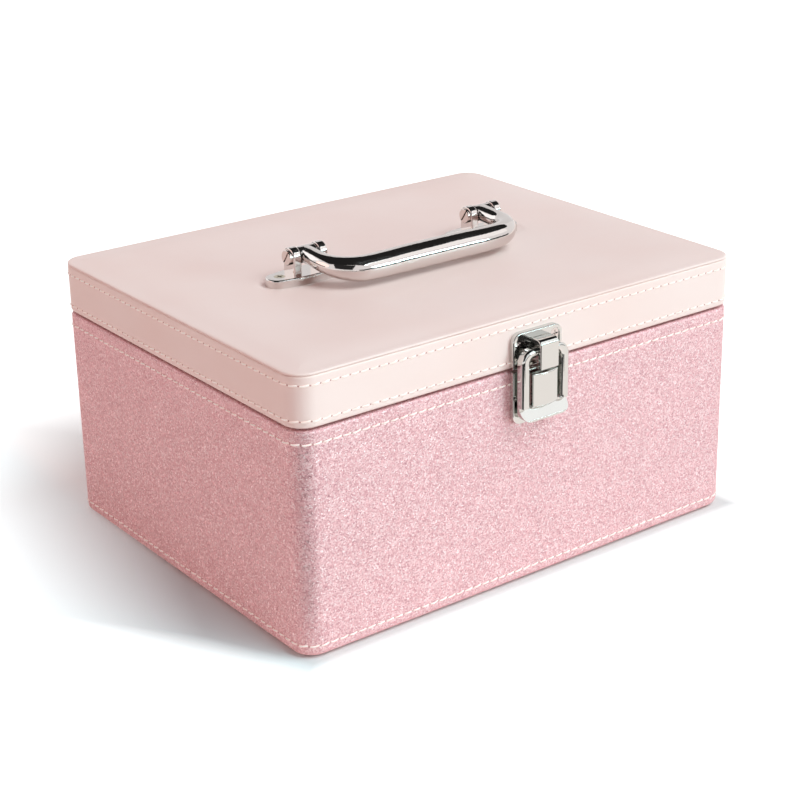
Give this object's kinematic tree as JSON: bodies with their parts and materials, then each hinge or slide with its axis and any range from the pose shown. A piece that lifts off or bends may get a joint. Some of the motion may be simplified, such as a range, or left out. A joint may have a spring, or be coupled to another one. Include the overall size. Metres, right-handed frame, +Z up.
{
  "type": "makeup storage case",
  "caption": "Rounded box with a stitched leather cover, hinged lid with a mirror, swinging chrome carry handle, ring latch and a sliding compartment tray.",
  "frame": {"origin": "middle of the underside, on the surface that the case stands on", "axes": "+X to the right seen from the latch, +Y to the hinges at the back, +Z up"},
  "size_m": [0.25, 0.219, 0.1461],
  "materials": {
    "fibreboard": "raw edge board",
    "flocked_board": "short flock over board",
    "glitter_leather": "fine glitter grain",
    "smooth_leather": "satin",
    "flock_lining": "short flock",
    "underside_paper": "matte",
    "grey_card": "matte",
    "foam": "soft open foam",
    "mirror": "silvered",
    "pull_tab_leather": "satin",
    "chrome": "polished",
    "steel": "zinc plated"
  },
  "bodies": {
    "case_body": {"body_front_board": "fibreboard", "body_back_board": "fibreboard", "body_left_board": "fibreboard", "body_right_board": "fibreboard", "floor_board": "fibreboard", "underside_sheet": "underside_paper", "body_cover": "glitter_leather", "body_wall_lining": "flock_lining", "body_floor_lining": "flock_lining", "front_tray_ledge": "flocked_board", "back_tray_ledge": "flocked_board", "latch_lower_plate": "chrome", "latch_lower_screws": "chrome", "left_hinge_body_leaf": "chrome", "right_hinge_body_leaf": "chrome", "left_hinge_pin": "chrome", "right_hinge_pin": "chrome", "hinge_body_screws": "chrome"},
    "lid": {"lid_front_board": "fibreboard", "lid_back_board": "fibreboard", "lid_left_board": "fibreboard", "lid_right_board": "fibreboard", "lid_top_board": "fibreboard", "lid_foam": "foam", "lid_top_cover": "smooth_leather", "lid_side_band": "smooth_leather", "lid_rim_lining": "flock_lining", "lid_inner_card": "grey_card", "lid_inner_panel": "flock_lining", "mirror_glass": "mirror", "left_handle_bracket": "chrome", "right_handle_bracket": "chrome", "handle_bracket_screws": "chrome", "handle_backing_plates": "steel", "handle_pivot_screws": "chrome", "latch_upper_plate": "chrome", "latch_upper_screws": "chrome", "left_hinge_lid_leaf": "chrome", "right_hinge_lid_leaf": "chrome", "hinge_lid_screws": "chrome"},
    "handle": {"handle_bail": "chrome"},
    "latch_ring": {"latch_ring": "chrome"},
    "tray": {"tray_floor": "flocked_board", "tray_left_wall": "flocked_board", "tray_right_wall": "flocked_board", "tray_front_wall": "flocked_board", "tray_back_wall": "flocked_board", "tray_lining": "flock_lining", "tray_long_divider": "flocked_board", "tray_cross_dividers": "flocked_board", "tray_pull_tab": "pull_tab_leather"}
  },
  "joints": [
    {"name": "lid_hinge", "type": "hinge", "parent": "case_body", "child": "lid", "pos_m": [0, 0.1028, 0.1049], "axis": [-1, 0, 0], "range_deg": [0, 100]},
    {"name": "handle_swing", "type": "hinge", "parent": "lid", "child": "handle", "pos_m": [0, 0, 0.1416], "axis": [-1, 0, 0], "range_deg": [0, 190]},
    {"name": "latch_ring_swing", "type": "hinge", "parent": "lid", "child": "latch_ring", "pos_m": [0, -0.1062, 0.1135], "axis": [-1, 0, 0], "range_deg": [0, 120]},
    {"name": "tray_slide", "type": "slide", "parent": "case_body", "child": "tray", "axis": [1, 0, 0], "range_m": [0, 0.1192]}
  ]
}
